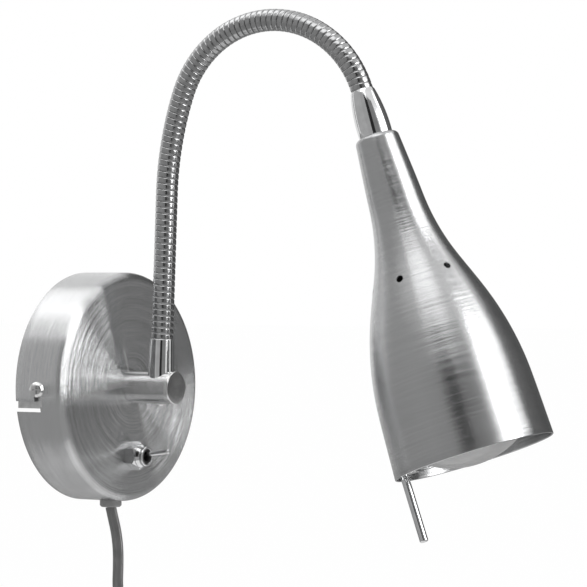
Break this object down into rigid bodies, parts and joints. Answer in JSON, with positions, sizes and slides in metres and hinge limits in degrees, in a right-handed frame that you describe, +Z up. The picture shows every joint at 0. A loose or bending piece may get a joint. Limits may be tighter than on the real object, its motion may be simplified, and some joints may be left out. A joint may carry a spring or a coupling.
{
  "type": "wall reading lamp",
  "caption": "Bedside wall reading lamp: round wall cup with a toggle switch, a bendable metal neck in an arch and a bell shade over a reflector bulb.",
  "frame": {"origin": "middle of the wall cup's back, on the wall plane", "axes": "+Y into the wall, +Z up, the lamp reaches towards -Y"},
  "size_m": [0.1215, 0.2448, 0.432],
  "materials": {
    "cup": "satin",
    "bracket": "satin",
    "screw": "satin",
    "post": "satin",
    "plated": "polished",
    "neck": "satin",
    "zinc": "satin",
    "shade": "satin",
    "holder": "matte",
    "holder_metal": "satin",
    "bulb_metal": "satin",
    "bulb": "gloss",
    "switch_metal": "polished",
    "switch_plastic": "matte",
    "block": "satin",
    "gland": "matte",
    "lead": "satin",
    "cord": "gloss",
    "tie": "matte",
    "plug": "matte",
    "pins": "polished"
  },
  "bodies": {
    "root": {"wall_bracket": "bracket", "canopy": "cup", "side_screws": "screw", "arm_post": "post", "post_washer": "zinc", "post_nut": "zinc", "neck_fixing_screw": "screw", "lower_ferrule": "plated", "neck_span_01": "neck", "neck_lead": "lead", "switch_nut": "switch_metal", "switch_bush": "switch_plastic", "switch_washer": "zinc", "switch_body": "switch_plastic", "switch_tags": "holder_metal", "terminal_block": "block", "terminal_screws": "screw", "block_bolt": "screw", "cord_gland": "gland", "entry_lead": "cord", "cord_drop": "cord", "cord_coil": "cord", "coil_tie": "tie", "cord_tail": "cord", "plug_body": "plug", "plug_pins": "pins"},
    "span_02": {"neck_span_02": "neck"},
    "span_03": {"neck_span_03": "neck"},
    "span_04": {"neck_span_04": "neck", "neck_span_05": "neck"},
    "span_06": {"neck_span_06": "neck"},
    "span_07": {"neck_span_07": "neck"},
    "span_08": {"neck_span_08": "neck", "neck_span_09": "neck"},
    "span_10": {"neck_span_10": "neck", "neck_span_11": "neck"},
    "span_12": {"neck_span_12": "neck"},
    "span_13": {"neck_span_13": "neck"},
    "span_14": {"neck_span_14": "neck", "neck_span_15": "neck"},
    "span_16": {"neck_span_16": "neck"},
    "head": {"neck_span_17": "neck", "upper_ferrule": "plated", "shade": "shade", "shade_nipple": "zinc", "shade_nut": "zinc", "lampholder_body": "holder", "lampholder_shell": "holder_metal", "lampholder_contact": "holder_metal", "bulb_contact": "bulb_metal", "bulb_cap": "bulb_metal", "bulb_glass": "bulb", "handle_rod": "plated", "handle_clip": "holder"},
    "toggle": {"switch_lever": "switch_metal"}
  },
  "joints": [
    {"name": "neck_lower_bend", "type": "hinge", "parent": "root", "child": "span_02", "pos_m": [0.00008, -0.04622, 0.03757], "axis": [0.994, 0.1097, 0], "range_deg": [-2, 13], "deforming": ["neck_lead"]},
    {"name": "neck_side_swing", "type": "hinge", "parent": "span_02", "child": "span_03", "pos_m": [0.00014, -0.04674, 0.05183], "axis": [0.1097, -0.9933, -0.0366], "range_deg": [-13, 13]},
    {"name": "neck_lower_bend_2", "type": "hinge", "parent": "span_03", "child": "span_04", "pos_m": [0.00019, -0.04726, 0.0661], "axis": [0.994, 0.1097, 0], "range_deg": [-2, 13]},
    {"name": "neck_lower_bend_3", "type": "hinge", "parent": "span_04", "child": "span_06", "pos_m": [0.00031, -0.04831, 0.09463], "axis": [0.994, 0.1097, 0], "range_deg": [-2, 13]},
    {"name": "neck_side_swing_2", "type": "hinge", "parent": "span_06", "child": "span_07", "pos_m": [0.00046, -0.04964, 0.10884], "axis": [0.1087, -0.9845, -0.1376], "range_deg": [-13, 13]},
    {"name": "neck_upper_bend", "type": "hinge", "parent": "span_07", "child": "span_08", "pos_m": [0.00074, -0.05221, 0.12288], "axis": [0.994, 0.1097, 0], "range_deg": [-13.5, 2]},
    {"name": "neck_upper_bend_2", "type": "hinge", "parent": "span_08", "child": "span_10", "pos_m": [0.00179, -0.06173, 0.14966], "axis": [0.994, 0.1097, 0], "range_deg": [-13.5, 2]},
    {"name": "neck_upper_bend_3", "type": "hinge", "parent": "span_10", "child": "span_12", "pos_m": [0.00408, -0.08245, 0.1686], "axis": [0.994, 0.1097, 0], "range_deg": [-13.5, 2]},
    {"name": "neck_side_swing_3", "type": "hinge", "parent": "span_12", "child": "span_13", "pos_m": [0.00556, -0.09591, 0.17298], "axis": [0.0188, -0.1699, -0.9853], "range_deg": [-13, 13]},
    {"name": "neck_upper_bend_4", "type": "hinge", "parent": "span_13", "child": "span_14", "pos_m": [0.00713, -0.11004, 0.17342], "axis": [0.994, 0.1097, 0], "range_deg": [-13.5, 2]},
    {"name": "neck_upper_bend_5", "type": "hinge", "parent": "span_14", "child": "span_16", "pos_m": [0.00998, -0.1359, 0.1626], "axis": [0.994, 0.1097, 0], "range_deg": [-13.5, 2]},
    {"name": "neck_upper_bend_6", "type": "hinge", "parent": "span_16", "child": "head", "pos_m": [0.01105, -0.14557, 0.15221], "axis": [0.994, 0.1097, 0], "range_deg": [-13.5, 2]},
    {"name": "switch_toggle", "type": "hinge", "parent": "root", "child": "toggle", "pos_m": [0, -0.03054, -0.03306], "axis": [1, 0, 0], "range_deg": [0, 18.8]}
  ],
  "couplings": [
    {"joint": "neck_lower_bend_2", "follows": "neck_lower_bend", "ratio": 1},
    {"joint": "neck_lower_bend_3", "follows": "neck_lower_bend", "ratio": 1},
    {"joint": "neck_side_swing_2", "follows": "neck_side_swing", "ratio": 1},
    {"joint": "neck_upper_bend_2", "follows": "neck_upper_bend", "ratio": 1},
    {"joint": "neck_upper_bend_3", "follows": "neck_upper_bend", "ratio": 1},
    {"joint": "neck_side_swing_3", "follows": "neck_side_swing", "ratio": 1},
    {"joint": "neck_upper_bend_4", "follows": "neck_upper_bend", "ratio": 1},
    {"joint": "neck_upper_bend_5", "follows": "neck_upper_bend", "ratio": 1},
    {"joint": "neck_upper_bend_6", "follows": "neck_upper_bend", "ratio": 1}
  ]
}
